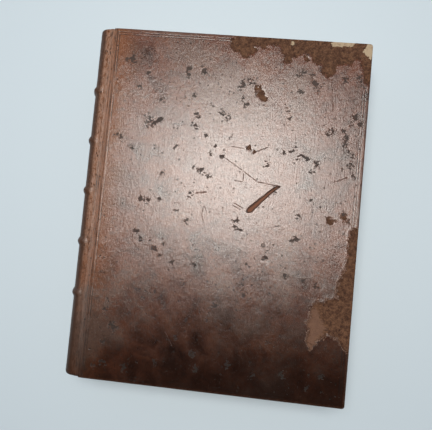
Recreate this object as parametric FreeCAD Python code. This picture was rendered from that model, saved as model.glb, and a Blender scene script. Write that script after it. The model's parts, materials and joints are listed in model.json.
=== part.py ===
import FreeCAD, Part
import math
import os

# An old calf-bound quarto, lying on its lower cover with the spine to -X and the head to +Y.
# Lengths are in millimetres. The origin is the centre of the space it fills, at the table.

Vec = FreeCAD.Vector
ALONG_Y = Vec(0, 1, 0)

# Covers
cover_height = 300.0  # head to tail, over the leather
cover_width = 220.0  # hinge line to fore-edge, over the leather
board_thickness = 3.4  # pasteboard
board_corner = 1.5  # corners of the board, seen from above
board_setback = 0.6  # the board's inner edge, past the hinge line
leather_thickness = 1.0
leather_edge_round = 1.2  # worn edges of the outer face
leather_corner_round = 2.2  # worn corners, seen from above
turn_in_width = 16.0  # leather folded over the board's inner face
turn_in_thickness = 0.5  # pared thin there
pastedown_margin = 4.5  # leather left showing round the pastedown
pastedown_thickness = 0.2

# Blind-tooled double line round each outer face
line_inset = 3.5  # outer line, from the head, tail and fore-edge
line_from_hinge = 3.0
line_spacing = 2.0
line_width = 0.45
line_depth = 0.25

# Pages
pages_thickness = 42.0
page_square = 5.0  # how far the covers stand past the pages on three sides
fore_edge_hollow = 9.0
flyleaf_thickness = 0.2

# Spine
spine_round = 17.0  # how far the leather stands past the hinge line, between the bands
shoulder_width = 4.4  # level leather beside the hinge line
shoulder_round = 9.5  # the leather turns down from there to the back, a flatter arc
shoulder_drop = 0.4  # the shoulder's leather, below the cover's outer face
lining_thickness = 0.4
lining_side_gap = 0.6  # between a lining and the cord beside it
cap_round = 2.6  # rounded ends of the spine at head and tail

# Sewing supports: the cords that make the raised bands, wrapped in the thread that sews the pages to them
cord_core_diameter = 1.8
thread_wrap = 0.3
cord_bedding = 0.4  # how deep each cord sits in the folds of the pages
cord_shoulder_round = 6.0  # a cord's middle turns into the shoulder this tightly
band_foot_round = 4.0  # the hollow where the leather comes down to the spine
band_count = 5
tail_panel = 70.0  # tail edge to the first band
head_panel = 55.0  # head edge to the last band
lacing_length = 12.0  # cord end, laid on the board before it passes through
lacing_thickness = 1.4
lacing_hole = 3.6

# Endbands
endband_core_diameter = 2.4
endband_silk_thickness = 0.4

# Clearances
joint_gap = 0.3  # cover to spine, at the hinge line
cover_gap = 0.3  # pastedown to flyleaf
cord_seat = 0.05  # cord to leather
endband_seat = 0.1  # endband to the cap over it

# Wear of the upper cover: the leather's surface is lost to this depth, and at two places all of it.
# Outlines are (distance from the fore-edge, distance from the head edge) on the cover's face.
graze_depth = 0.35
over_edge = 3.0  # an outline that leaves the cover ends this far outside it
head_graze = [
    (116, -over_edge), (118, 9), (115, 13), (110, 15), (106, 19), (103, 19), (102, 16.5), (96, 16),
    (96, 11), (98, 8.5), (93, 7.5), (90.5, 10.5), (86, 10), (87.5, 7), (82, 6), (77, 6.5), (75, 11),
    (71.5, 14), (72.5, 20), (69, 21.5), (65.5, 19), (65, 14), (61, 15.5), (55, 10), (53, 12.5),
    (48, 14), (48, 19), (40.5, 21), (39.5, 27), (35.5, 30), (30.5, 29), (28, 25), (27.5, 20.5),
    (21, 19), (16, 20), (14, 15), (9, 14.5), (6.5, 21), (4, 33),
    (-over_edge, 38), (-over_edge, -over_edge),
]
fore_edge_graze = [
    (-over_edge, 154), (3, 154.5), (6.7, 158), (6.7, 169), (7.5, 187), (9, 192), (11.5, 199), (14, 205),
    (14, 209), (10.5, 211), (12.5, 213), (20, 215.5), (21.5, 218), (29, 216.5), (30, 219), (25.5, 221.5),
    (31.5, 222.5), (31.5, 231), (35.5, 234), (32, 239), (34, 244), (34, 251), (31.5, 254), (29, 249),
    (24, 242), (17, 239), (9, 246), (5, 252), (-over_edge, 255),
]
centre_graze = [
    (94, 42), (89.5, 43.5), (85, 48), (82, 53), (84, 56), (87.5, 55), (89.5, 52), (93, 51.5), (92, 47),
]
small_graze = [(98, 92.5), (94, 94), (92, 98), (87.5, 98.5), (91.5, 100), (96, 97)]
knife_scar = [
    (65.5, 126), (70, 126.5), (78, 133), (86, 140), (92, 145.5), (93.5, 149), (92, 150), (87.5, 149.5),
    (85.5, 146), (78, 137.5), (71, 130),
]
bare_head_edge = [(34.5, -over_edge), (34.5, 2), (33, 4.5), (17, 4), (15, 1.5), (15, -over_edge)]
bare_corner = [
    (-over_edge, -over_edge), (6, -over_edge), (5, 3), (8, 7), (6, 10), (1, 13.5), (-over_edge, 14),
]

# Heights, from the table up to the middle of the pages. The upper half is the lower one turned over.
board_outer_z = leather_thickness
board_inner_z = board_outer_z + board_thickness
turn_in_z = board_inner_z + turn_in_thickness
pastedown_z = turn_in_z + pastedown_thickness
flyleaf_z = pastedown_z + cover_gap
pages_z = flyleaf_z + flyleaf_thickness
middle_z = pages_z + pages_thickness / 2
book_thickness = 2 * middle_z

# Places across the book
cord_diameter = cord_core_diameter + 2 * thread_wrap
band_rise = cord_diameter - cord_bedding - lining_thickness
hinge_x = (spine_round + band_rise - cover_width) / 2
block_joint_x = hinge_x - joint_gap / 2
cover_joint_x = hinge_x + joint_gap / 2
cover_fore_x = hinge_x + cover_width
board_joint_x = hinge_x + board_setback
board_fore_x = cover_fore_x - leather_thickness
pages_fore_x = cover_fore_x - page_square

# Places along the book
half_height = cover_height / 2
board_half_height = half_height - leather_thickness
pages_half_height = half_height - page_square
endband_diameter = endband_core_diameter + 2 * endband_silk_thickness
cap_inner_y = pages_half_height + endband_diameter + endband_seat
spine_half_height = cap_inner_y + leather_thickness
band_spacing = (cover_height - head_panel - tail_panel) / (band_count - 1)
band_places = [tail_panel - half_height + band_spacing * i for i in range(band_count)]

# The back of the spine is an arc about an axis along the book. It runs over into a shoulder at each side,
# which turns about an axis of its own and ends in a level strip at the hinge line.
shoulder_half = middle_z - shoulder_drop
shoulder_turn_half = shoulder_half - shoulder_round
back_half_angle = 2 * math.atan((spine_round - shoulder_width - shoulder_round) / shoulder_turn_half)
spine_radius = shoulder_round + shoulder_turn_half / math.sin(back_half_angle)
spine_axis_x = hinge_x - spine_round + spine_radius
shoulder_turn_x = hinge_x - shoulder_width
leather_inner_radius = spine_radius - leather_thickness
pages_radius = leather_inner_radius - lining_thickness
pages_depth = leather_thickness + lining_thickness  # of the pages' back, under the leather's surface

# Each cord follows the back and then turns in earlier and tighter, so that it sinks into the shoulders
cord_radius = cord_diameter / 2
cord_back_radius = pages_radius - cord_bedding + cord_radius
cord_middle_x = spine_axis_x - cord_back_radius
cord_end_half = shoulder_half - leather_thickness - cord_seat - cord_radius
cord_turn_half = cord_end_half - cord_shoulder_round
cord_half_angle = math.asin(cord_turn_half / (cord_back_radius - cord_shoulder_round))
cord_turn_x = spine_axis_x - (cord_back_radius - cord_shoulder_round) * math.cos(cord_half_angle)

# Ways over the back: the half angle of its arc, then the x and the half height of the shoulder's axis
leather_way = (back_half_angle, shoulder_turn_x, shoulder_turn_half)
cord_way = (cord_half_angle, cord_turn_x, cord_turn_half)


def box(x0, x1, y0, y1, z0, z1):
    return Part.makeBox(x1 - x0, y1 - y0, z1 - z0, Vec(x0, y0, z0))


def face_of(edges):
    return Part.Face(Part.Wire(edges))


def in_middle(x, y):
    # a point in the plane halfway through the book's thickness
    return Vec(x, y, middle_z)


def line(start, end):
    return Part.makeLine(in_middle(*start), in_middle(*end))


def arc(start, through, end):
    return Part.Arc(in_middle(*start), in_middle(*through), in_middle(*end)).toShape()


def swept_round(face, half_angle):
    # turns a face at mid thickness about the back's axis, equally up and down
    base = Vec(spine_axis_x, 0, middle_z)
    start = face.copy()
    start.rotate(base, ALONG_Y, -math.degrees(half_angle))
    return start.revolve(base, ALONG_Y, 2 * math.degrees(half_angle))


def swept_over_back(face, way):
    # carries a face at mid thickness over the back, round the shoulders and level on to the hinge line
    half_angle, turn_x, turn_half = way
    turn_axis = Vec(turn_x, 0, middle_z + turn_half)
    tilt, rest = math.degrees(half_angle), 90 - math.degrees(half_angle)
    tilted = face.copy()
    tilted.rotate(Vec(spine_axis_x, 0, middle_z), ALONG_Y, tilt)
    upright = tilted.copy()
    upright.rotate(turn_axis, ALONG_Y, rest)
    upper = [tilted.revolve(turn_axis, ALONG_Y, rest), upright.extrude(Vec(2 * (hinge_x - turn_x), 0, 0))]
    lower = [turned_over(piece) for piece in upper]
    whole = swept_round(face, half_angle).multiFuse(upper + lower)
    return spine_side_of_joint(whole.removeSplitter())


def back_edges(depth, end_x):
    # the way over the back as lines and arcs, that deep under the leather's surface, from top to bottom
    turn, radius = shoulder_round - depth, spine_radius - depth
    halfway = (back_half_angle + math.pi / 2) / 2

    def turn_point(angle, side):
        height = shoulder_turn_half + turn * math.sin(angle)
        return Vec(shoulder_turn_x - turn * math.cos(angle), 0, middle_z + side * height)

    levels, turns, meetings = [], [], []
    for side in (1, -1):
        top = turn_point(math.pi / 2, side)
        meetings.append(turn_point(back_half_angle, side))
        levels.append(Part.makeLine(Vec(end_x, 0, top.z), top))
        turns.append(Part.Arc(top, turn_point(halfway, side), meetings[-1]).toShape())
    back = Part.Arc(meetings[0], Vec(spine_axis_x - radius, 0, middle_z), meetings[1]).toShape()
    return [levels[0], turns[0], back, turns[1], levels[1]]


def spine_side_of_joint(shape):
    # keeps what lies on the spine's side of the hinge line
    far = 2 * cover_width
    return shape.cut(box(block_joint_x, far, -far, far, -far, far))


def turned_over(shape):
    # the same piece for the upper cover
    return shape.mirror(Vec(0, 0, middle_z), Vec(0, 0, 1))


def rounded_plate(x0, x1, half_y, z0, z1, corner):
    # a plate with its two fore-edge corners rounded
    plate = box(x0, x1, -half_y, half_y, z0, z1)
    corners = [
        edge for edge in plate.Edges
        if abs(edge.CenterOfMass.x - x1) < 1e-6 and abs(edge.CenterOfMass.z - (z0 + z1) / 2) < 1e-6
        and abs(abs(edge.CenterOfMass.y) - half_y) < 1e-6
    ]
    return plate.makeFillet(corner, corners)


def lacing(place):
    # the flattened end of a cord, laid on the lower board and passed through it
    half_width = lacing_hole / 2
    end_x = board_joint_x + lacing_length
    strap = box(board_joint_x, end_x, place - half_width, place + half_width,
                board_outer_z, board_outer_z + lacing_thickness)
    plug = Part.makeCylinder(half_width, board_thickness, Vec(end_x, place, board_outer_z))
    return strap.fuse(plug).removeSplitter()


def board(lacings):
    plate = rounded_plate(board_joint_x, board_fore_x, board_half_height,
                          board_outer_z, board_inner_z, board_corner)
    return plate.cut(Part.makeCompound(lacings))


def tooled_lines():
    # two nested frames, sunk in the outer face of the lower cover
    frames = []
    for step in (0, line_spacing):
        outer = [hinge_x + line_from_hinge + step, cover_fore_x - line_inset - step,
                 step + line_inset - half_height, half_height - line_inset - step]
        inner = [place + sign * line_width for place, sign in zip(outer, (1, -1, 1, -1))]
        frames.append(box(*outer, -line_depth, line_depth).cut(box(*inner, -line_depth, line_depth)))
    return Part.makeCompound(frames)


def cover_leather():
    # wraps the lower board's outer face and three edges, and is folded over its inner face
    skin = rounded_plate(cover_joint_x, cover_fore_x, half_height, 0, turn_in_z, leather_corner_round)
    outer_edges = [
        edge for edge in skin.Edges
        if edge.BoundBox.ZMax < 1e-6 and edge.BoundBox.XMax > cover_joint_x + 1e-6
    ]
    skin = skin.makeFillet(leather_edge_round, outer_edges)
    hollow = rounded_plate(hinge_x, board_fore_x, board_half_height,
                           board_outer_z, board_inner_z, board_corner)
    window = box(hinge_x, cover_fore_x - turn_in_width, turn_in_width - half_height,
                 half_height - turn_in_width, board_outer_z, 2 * turn_in_z)
    return skin.cut(hollow).cut(window).cut(tooled_lines())


def pastedown():
    # paper over the lower board's inner face and the edges of the turned-in leather
    paper_x, window_x = cover_fore_x - pastedown_margin, cover_fore_x - turn_in_width
    paper_y, window_y = half_height - pastedown_margin, half_height - turn_in_width
    step = pastedown_thickness
    middle = box(board_joint_x, window_x, -window_y, window_y, board_inner_z, pastedown_z)
    border = box(board_joint_x, paper_x, -paper_y, paper_y, turn_in_z, pastedown_z)
    dip = box(hinge_x, window_x - step, step - window_y, window_y - step,
              board_inner_z + step, 2 * pastedown_z)
    return middle.fuse(border).cut(dip).removeSplitter()


def text_block(cords):
    # all the leaves as one solid, rounded at the spine, with shoulders that the boards sit against
    top, low = book_thickness - pages_z, pages_z
    shoulder = shoulder_half - pages_depth
    corners = {
        "fore_top": Vec(pages_fore_x, 0, top),
        "joint_top": Vec(block_joint_x, 0, top),
        "tip_top": Vec(block_joint_x, 0, middle_z + shoulder),
        "tip_low": Vec(block_joint_x, 0, middle_z - shoulder),
        "joint_low": Vec(block_joint_x, 0, low),
        "fore_low": Vec(pages_fore_x, 0, low),
        "hollow": Vec(pages_fore_x - fore_edge_hollow, 0, middle_z),
    }
    at = corners.get
    section = face_of(Part.__sortEdges__([
        Part.makeLine(at("fore_top"), at("joint_top")),
        Part.makeLine(at("joint_top"), at("tip_top")),
        *back_edges(pages_depth, block_joint_x),
        Part.makeLine(at("tip_low"), at("joint_low")),
        Part.makeLine(at("joint_low"), at("fore_low")),
        Part.Arc(at("fore_low"), at("hollow"), at("fore_top")).toShape(),
    ]))
    section.translate(Vec(0, -pages_half_height, 0))
    block = section.extrude(Vec(0, 2 * pages_half_height, 0))
    return block.cut(Part.makeCompound(cords))


def flyleaf():
    # the free endpaper under the pages
    return box(block_joint_x, pages_fore_x, -pages_half_height, pages_half_height, flyleaf_z, pages_z)


def ring_at(x, y, outer_radius, inner_radius=0):
    # the round section of a cord, or of what is wound on one
    section = face_of([Part.makeCircle(outer_radius, in_middle(x, y), Vec(0, 0, 1))])
    if inner_radius:
        section = section.cut(face_of([Part.makeCircle(inner_radius, in_middle(x, y), Vec(0, 0, 1))]))
    return section.Faces[0]


def cord(place, outer_radius, inner_radius=0):
    # a sewing support, or the thread on it, bent over the back of the pages
    return swept_over_back(ring_at(cord_middle_x, place, outer_radius, inner_radius), cord_way)


def lining(start, end):
    # a strip of paper between two cords
    outer = spine_axis_x - leather_inner_radius
    inner = spine_axis_x - pages_radius
    corners = [(outer, start), (inner, start), (inner, end), (outer, end), (outer, start)]
    strip = Part.Face(Part.makePolygon([in_middle(*corner) for corner in corners]))
    return swept_over_back(strip, leather_way)


def linings():
    side = cord_radius + lining_side_gap
    starts = [-pages_half_height] + [place + side for place in band_places]
    ends = [place - side for place in band_places] + [pages_half_height]
    return [lining(start, end) for start, end in zip(starts, ends)]


def spine_shell():
    # the leather between the bands, with a cap folded over each endband
    out_x = spine_axis_x - spine_radius
    in_x = out_x + leather_thickness
    lip_x = spine_axis_x - pages_radius + endband_diameter / 2
    end, lip = spine_half_height, cap_inner_y
    bend = cap_round * (1 - math.sqrt(0.5))
    flat_end = end - cap_round
    return face_of([
        line((out_x, -flat_end), (out_x, flat_end)),
        arc((out_x, flat_end), (out_x + bend, end - bend), (out_x + cap_round, end)),
        line((out_x + cap_round, end), (lip_x, end)),
        line((lip_x, end), (lip_x, lip)),
        line((lip_x, lip), (in_x, lip)),
        line((in_x, lip), (in_x, -lip)),
        line((in_x, -lip), (lip_x, -lip)),
        line((lip_x, -lip), (lip_x, -end)),
        line((lip_x, -end), (out_x + cap_round, -end)),
        arc((out_x + cap_round, -end), (out_x + bend, bend - end), (out_x, -flat_end)),
    ])


def band_outside(place):
    # the bell of leather over a cord: a crown between two hollow feet
    crown, foot = cord_radius + leather_thickness, band_foot_round
    base_x = spine_axis_x - spine_radius
    crown_x = base_x - band_rise + crown
    foot_x = base_x - foot
    spread = math.sqrt((crown + foot) ** 2 - (crown_x - foot_x) ** 2)
    share = crown / (crown + foot)
    touch_x, touch = crown_x + (foot_x - crown_x) * share, spread * share
    lean = math.atan2(spread - touch, touch_x - foot_x)
    mid_x, mid = foot_x + foot * math.cos(lean / 2), spread - foot * math.sin(lean / 2)
    deep_x = base_x + leather_thickness
    bell = face_of([
        line((deep_x, -spread), (base_x, -spread)),
        arc((base_x, -spread), (mid_x, -mid), (touch_x, -touch)),
        arc((touch_x, -touch), (base_x - band_rise, 0), (touch_x, touch)),
        arc((touch_x, touch), (mid_x, mid), (base_x, spread)),
        line((base_x, spread), (deep_x, spread)),
        line((deep_x, spread), (deep_x, -spread)),
    ])
    return bell.translate(Vec(0, place, 0))


def band_inside(place):
    # the room for a cord under its band
    half = cord_radius + cord_seat
    deep_x = cord_middle_x + cord_radius + leather_thickness + lining_thickness
    room = face_of([
        line((deep_x, -half), (cord_middle_x, -half)),
        arc((cord_middle_x, -half), (cord_middle_x - half, 0), (cord_middle_x, half)),
        line((cord_middle_x, half), (deep_x, half)),
        line((deep_x, half), (deep_x, -half)),
    ])
    return room.translate(Vec(0, place, 0))


def spine_leather():
    # one curved skin with its raised bands, from shoulder to shoulder
    shell = swept_over_back(spine_shell(), leather_way)
    bands = [swept_over_back(band_outside(place), cord_way) for place in band_places]
    inside = back_edges(leather_thickness, hinge_x)
    tips = [edge.firstVertex().Point for edge in (inside[0], inside[-1])]
    core = face_of(Part.__sortEdges__(inside + [Part.makeLine(*tips)]))
    core.translate(Vec(0, -half_height, 0))
    core = core.extrude(Vec(0, 2 * half_height, 0))
    rooms = [swept_over_back(band_inside(place), cord_way) for place in band_places]
    raised = [band.cut(core) for band in bands]
    whole = shell.multiFuse(raised).cut(Part.makeCompound(rooms))
    return spine_side_of_joint(whole).removeSplitter()


def endband(end, outer_radius, inner_radius=0):
    # a ring section bent round the back of the pages at head (end 1) or tail (end -1)
    bend_radius = pages_radius - endband_diameter / 2
    section = ring_at(spine_axis_x - bend_radius, end * (pages_half_height + endband_diameter / 2),
                      outer_radius, inner_radius)
    reach = math.asin((pages_thickness - endband_diameter) / 2 / bend_radius)
    return swept_round(section, reach)


def worn_away(outline, depth):
    # a prism over an outline on the upper cover's face, down to the depth of the loss
    floor_z = book_thickness - depth
    points = [Vec(cover_fore_x - across, half_height - down, floor_z) for across, down in outline]
    return Part.Face(Part.makePolygon(points + points[:1])).extrude(Vec(0, 0, 2 * depth))


def worn_leather(leather):
    grazes = (head_graze, fore_edge_graze, centre_graze, small_graze, knife_scar)
    for outline in grazes:
        leather = leather.cut(worn_away(outline, graze_depth))
    for outline in (bare_head_edge, bare_corner):
        leather = leather.cut(worn_away(outline, leather_thickness))
    return leather


def save(name, shape):
    solids = shape.Solids
    kept = solids[0] if len(solids) == 1 else Part.makeCompound(solids)
    kept.exportStep(os.path.join("parts", name + ".step"))
    print(f"{name}: {len(solids)} solid, valid {kept.isValid()}, {kept.Volume:.0f} mm3")


def main():
    os.makedirs("parts", exist_ok=True)
    lacings = [lacing(place) for place in band_places]
    core_radius = cord_core_diameter / 2
    cores = [cord(place, core_radius) for place in band_places]
    wraps = [cord(place, cord_radius, core_radius) for place in band_places]
    leather = cover_leather()

    lower_board = board(lacings)
    save("lower_board", lower_board)
    save("upper_board", turned_over(lower_board))
    save("lower_cover_leather", leather)
    save("upper_cover_leather", worn_leather(turned_over(leather)))
    save("lower_pastedown", pastedown())
    save("upper_pastedown", turned_over(pastedown()))
    for number, slip in enumerate(lacings, 1):
        save(f"lower_lacing_{number}", slip)
        save(f"upper_lacing_{number}", turned_over(slip))

    save("text_block", text_block([cord(place, cord_radius) for place in band_places]))
    save("lower_flyleaf", flyleaf())
    save("upper_flyleaf", turned_over(flyleaf()))
    for number, core in enumerate(cores, 1):
        save(f"sewing_cord_{number}", core)
    save("sewing_thread", Part.makeCompound(wraps))
    for number, strip in enumerate(linings(), 1):
        save(f"spine_lining_{number}", strip)
    save("spine_leather", spine_leather())
    endband_core_radius = endband_core_diameter / 2
    for end, name in ((1, "head"), (-1, "tail")):
        save(f"{name}_endband_core", endband(end, endband_core_radius))
        save(f"{name}_endband_silk", endband(end, endband_diameter / 2, endband_core_radius))


main()
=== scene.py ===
import json
import math

import bmesh
import bpy
import numpy as np
from mathutils import Matrix, Vector, noise


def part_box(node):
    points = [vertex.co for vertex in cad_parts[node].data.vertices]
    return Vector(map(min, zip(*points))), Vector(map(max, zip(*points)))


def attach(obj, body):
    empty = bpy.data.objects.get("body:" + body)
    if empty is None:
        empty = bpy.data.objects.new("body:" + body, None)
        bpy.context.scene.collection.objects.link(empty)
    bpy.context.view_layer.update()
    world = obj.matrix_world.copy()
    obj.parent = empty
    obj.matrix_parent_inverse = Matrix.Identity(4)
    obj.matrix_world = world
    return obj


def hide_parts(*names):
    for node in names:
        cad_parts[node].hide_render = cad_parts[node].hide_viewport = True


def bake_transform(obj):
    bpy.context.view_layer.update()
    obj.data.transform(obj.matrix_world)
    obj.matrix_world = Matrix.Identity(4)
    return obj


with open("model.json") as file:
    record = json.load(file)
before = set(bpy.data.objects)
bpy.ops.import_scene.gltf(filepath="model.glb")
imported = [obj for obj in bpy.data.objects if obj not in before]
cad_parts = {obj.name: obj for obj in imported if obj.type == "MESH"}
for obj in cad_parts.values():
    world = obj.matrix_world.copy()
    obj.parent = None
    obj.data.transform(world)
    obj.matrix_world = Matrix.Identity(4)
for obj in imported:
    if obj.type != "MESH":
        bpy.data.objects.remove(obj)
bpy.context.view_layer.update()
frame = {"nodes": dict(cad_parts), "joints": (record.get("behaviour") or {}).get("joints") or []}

mm = 0.001
tiny = 1e-9  # less than any real distance in the book

# places read from the frame
joints = {joint["name"]: joint for joint in frame["joints"]}
hingeX, _, topZ = joints["upper_cover_joint"]["pos_m"]
midZ = topZ / 2
coverLow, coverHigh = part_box("upper_cover_leather")
boardLow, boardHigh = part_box("upper_board")
spineLow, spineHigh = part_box("spine_leather")
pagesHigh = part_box("text_block")[1]
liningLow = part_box("spine_lining_1")[0]
flyleafLow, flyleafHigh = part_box("upper_flyleaf")
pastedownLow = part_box("upper_pastedown")[0]
foreX, halfHeight = coverHigh.x, coverHigh.y
cordBoxes = [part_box(f"sewing_cord_{n}") for n in range(1, 6)]
bandPlaces = [(low.y + high.y) / 2 for low, high in cordBoxes]


def roughness(points, size, seed, octaves=3):
    # smooth noise from about -1 to 1 at each point, with lumps of that size
    shift = Vector((seed * 7.31, seed * 3.77, seed * 5.13))
    return np.array([noise.fractal(Vector(p) / size + shift, 0.9, 2.1, octaves) for p in points])


def smoothStep(value, low, high):
    t = np.clip((value - low) / (high - low), 0, 1)
    return t * t * (3 - 2 * t)


def gridFaces(rows, columns, start=0):
    # the faces between a grid's points, which are numbered row by row from start
    corners = [start + row * columns + column for row in range(rows - 1) for column in range(columns - 1)]
    return [(a, a + 1, a + 1 + columns, a + columns) for a in corners]


def newPiece(name, vertices, faces, material, smooth=True):
    mesh = bpy.data.meshes.new(name)
    mesh.from_pydata([tuple(v) for v in vertices], [], faces)
    mesh.polygons.foreach_set("use_smooth", [smooth] * len(mesh.polygons))
    mesh.materials.append(material)
    mesh.update()
    piece = bpy.data.objects.new(name, mesh)
    bpy.context.scene.collection.objects.link(piece)
    return piece


def storeField(piece, name, values):
    field = piece.data.attributes.new(name, "FLOAT", "POINT")
    field.data.foreach_set("value", np.asarray(values, np.float32))


def edgeDistance(x, y, outline):
    # mm to an outline, negative inside it
    nearest = np.full(x.shape, np.inf)
    inside = np.zeros(x.shape, bool)
    for (x0, y0), (x1, y1) in zip(outline, outline[1:] + outline[:1]):
        dx, dy = x1 - x0, y1 - y0
        t = np.clip(((x - x0) * dx + (y - y0) * dy) / (dx * dx + dy * dy), 0, 1)
        nearest = np.minimum(nearest, np.hypot(x - x0 - t * dx, y - y0 - t * dy))
        if dy:
            inside ^= ((y0 > y) != (y1 > y)) & (x < x0 + (y - y0) * dx / dy)
    return np.where(inside, -nearest, nearest)


# small helpers for node trees: a value may be a number, a tuple or another node's output
def put(socket, value):
    if isinstance(value, bpy.types.NodeSocket):
        socket.id_data.links.new(value, socket)
    else:
        socket.default_value = value


def addNode(tree, kind, values=(), **settings):
    made = tree.nodes.new(kind)
    for key, value in settings.items():
        setattr(made, key, value)
    for key, value in dict(values).items():
        put(made.inputs[key], value)
    return made


def treeOf(*values):
    # the tree of the first node's output among the values
    return next(value.id_data for value in values if isinstance(value, bpy.types.NodeSocket))


def calc(operation, *values, clamp=False):
    made = addNode(treeOf(*values), "ShaderNodeMath", operation=operation, use_clamp=clamp)
    for socket, value in zip(made.inputs, values):
        put(socket, value)
    return made.outputs[0]


def times(first, second, clamp=False):
    return calc("MULTIPLY", first, second, clamp=clamp)


def plus(first, second, factor=1):
    # first plus second times the factor
    return calc("ADD", first, second if factor == 1 else times(second, factor))


def minus(first, second, clamp=False):
    return calc("SUBTRACT", first, second, clamp=clamp)


def larger(first, second):
    return calc("MAXIMUM", first, second)


def smaller(first, second):
    return calc("MINIMUM", first, second)


def unsigned(value):
    return calc("ABSOLUTE", value)


def ease(value, low, high, start=0.0, end=1.0):
    # goes smoothly from start to end as value goes from low to high
    made = addNode(treeOf(value), "ShaderNodeMapRange", interpolation_type="SMOOTHSTEP")
    for socket, setting in zip(made.inputs, (value, low, high, start, end)):
        put(socket, setting)
    return made.outputs[0]


def mixNumbers(share, first, second):
    return addNode(treeOf(share), "ShaderNodeMix", {0: share, 2: first, 3: second}).outputs[0]


def mixColours(share, first, second):
    made = addNode(treeOf(share), "ShaderNodeMix", {0: share}, data_type="RGBA")
    for socket, value in ((made.inputs[6], first), (made.inputs[7], second)):
        put(socket, (*value, 1.0) if isinstance(value, tuple) else value)
    return made.outputs[2]


def ramp(value, stops):
    made = addNode(treeOf(value), "ShaderNodeValToRGB", {"Fac": value})
    elements = made.color_ramp.elements
    while len(elements) < len(stops):
        elements.new(0.5)
    for element, (place, colour) in zip(elements, stops):
        element.position, element.color = place, (*colour, 1.0)
    return made.outputs[0]


def grain(where, scale, detail=3.0, rough=0.55, twist=0.0):
    values = {"Vector": where, "Scale": scale, "Detail": detail, "Roughness": rough, "Distortion": twist}
    return addNode(treeOf(where), "ShaderNodeTexNoise", values).outputs[0]


def cells(where, scale):
    # distance to the nearest of many scattered points, and that point's own chance from 0 to 1
    made = addNode(treeOf(where), "ShaderNodeTexVoronoi", {"Vector": where, "Scale": scale})
    chance = addNode(treeOf(where), "ShaderNodeSeparateColor", {0: made.outputs["Color"]}).outputs[0]
    return made.outputs["Distance"], chance


def split(vector):
    return addNode(treeOf(vector), "ShaderNodeSeparateXYZ", {0: vector}).outputs


def joined(x, y, z):
    return addNode(treeOf(x, y, z), "ShaderNodeCombineXYZ", {0: x, 1: y, 2: z}).outputs[0]


def vectorMath(operation, first, second):
    return addNode(treeOf(first), "ShaderNodeVectorMath", {0: first, 1: second}, operation=operation).outputs


def stretch(where, x, y, z):
    return vectorMath("MULTIPLY", where, (x, y, z))[0]


def startMaterial(name):
    made = bpy.data.materials.new(name)
    made.use_nodes = True
    tree = made.node_tree
    objectPlace = addNode(tree, "ShaderNodeTexCoord").outputs["Object"]
    where = stretch(objectPlace, 1 / mm, 1 / mm, 1 / mm)  # patterns are sized in mm
    return made, tree, where, tree.nodes["Principled BSDF"]


def finishMaterial(tree, shader, colour, rough, height, strength=1.0):
    put(shader.inputs["Base Color"], colour)
    put(shader.inputs["Roughness"], rough)
    bump = addNode(tree, "ShaderNodeBump", {"Height": height, "Distance": mm, "Strength": strength})
    put(shader.inputs["Normal"], bump.outputs[0])


def readField(tree, name):
    return addNode(tree, "ShaderNodeAttribute", attribute_name=name).outputs["Fac"]


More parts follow.
